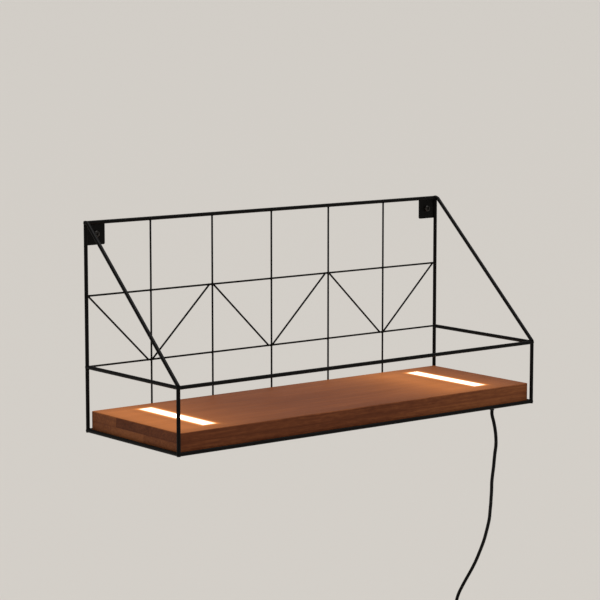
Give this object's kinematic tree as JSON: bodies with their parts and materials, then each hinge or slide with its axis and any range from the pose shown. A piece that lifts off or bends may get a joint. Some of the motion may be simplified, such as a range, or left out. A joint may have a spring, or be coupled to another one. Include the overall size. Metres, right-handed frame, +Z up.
{
  "type": "wall lamp with shelf",
  "caption": "Wall lamp with a shelf: a black welded wire frame carries a thick wood board with two light slots let into its top, and a mains lead with an in-line rocker switch and plug.",
  "frame": {"origin": "midway between the two wall screw holes, in the plane of the wall", "axes": "+X to the right along the wall, +Y into the wall, +Z up; the lamp stands out from the wall towards -Y"},
  "size_m": [0.6526, 0.206, 0.8165],
  "materials": {
    "black_powder_coat": "satin black powder coat over welded steel wire",
    "oiled_wood": "stained and oiled hardwood in glued blocks, satin",
    "opal_lens": "opal acrylic, satin, lit from below",
    "circuit_board": "white solder mask",
    "diode": "yellow phosphor",
    "driver_case": "moulded white plastic",
    "core_sleeve": "soft insulation, one colour a core",
    "cover_plastic": "black fibre board",
    "black_screw": "black oxide",
    "relief_rubber": "moulded soft plastic, matt",
    "lead_sheath": "black sheath, satin",
    "tie_rubber": "soft black band, matt",
    "switch_plastic": "moulded black plastic, fine grain",
    "rocker_plastic": "smooth black plastic",
    "brass": "bare brass",
    "steel_screw": "zinc plated",
    "plug_plastic": "moulded black plastic",
    "nickel_pin": "bright nickel plate"
  },
  "bodies": {
    "lamp": {"back_top_rail": "black_powder_coat", "back_bottom_rail": "black_powder_coat", "back_post_left": "black_powder_coat", "back_post_right": "black_powder_coat", "front_post_left": "black_powder_coat", "front_post_right": "black_powder_coat", "guard_rail_front": "black_powder_coat", "guard_rail_left": "black_powder_coat", "guard_rail_right": "black_powder_coat", "bottom_rail_front": "black_powder_coat", "bottom_rail_left": "black_powder_coat", "bottom_rail_right": "black_powder_coat", "brace_left": "black_powder_coat", "brace_right": "black_powder_coat", "grid_upright_1": "black_powder_coat", "grid_upright_2": "black_powder_coat", "grid_upright_3": "black_powder_coat", "grid_upright_4": "black_powder_coat", "grid_upright_5": "black_powder_coat", "grid_wire_upper": "black_powder_coat", "grid_wire_lower": "black_powder_coat", "zigzag_wire_1": "black_powder_coat", "zigzag_wire_2": "black_powder_coat", "zigzag_wire_3": "black_powder_coat", "zigzag_wire_4": "black_powder_coat", "zigzag_wire_5": "black_powder_coat", "zigzag_wire_6": "black_powder_coat", "wall_tab_left": "black_powder_coat", "wall_tab_right": "black_powder_coat", "board_strap_left": "black_powder_coat", "board_strap_right": "black_powder_coat", "shelf_board": "oiled_wood", "lens_left": "opal_lens", "lens_right": "opal_lens", "led_board_left": "circuit_board", "led_board_right": "circuit_board", "leds_left": "diode", "leds_right": "diode", "led_driver": "driver_case", "led_wires_left": "core_sleeve", "led_wires_right": "core_sleeve", "mains_cores": "core_sleeve", "bottom_cover": "cover_plastic", "strap_screws": "black_screw", "cover_screws": "black_screw", "strain_relief": "relief_rubber", "lead": "lead_sheath", "lead_coil": "lead_sheath", "coil_tie": "tie_rubber", "switch_base": "switch_plastic", "switch_cover": "switch_plastic", "switch_terminals": "brass", "switch_cores": "core_sleeve", "switch_screws": "steel_screw", "plug_body": "plug_plastic", "plug_pins": "nickel_pin"},
    "rocker": {"switch_rocker": "rocker_plastic"}
  },
  "joints": [
    {"name": "rocker_tilt", "type": "hinge", "parent": "lamp", "child": "rocker", "pos_m": [0.335, -0.0175, -0.63], "axis": [1, 0, 0], "range_deg": [-16, 0]}
  ]
}
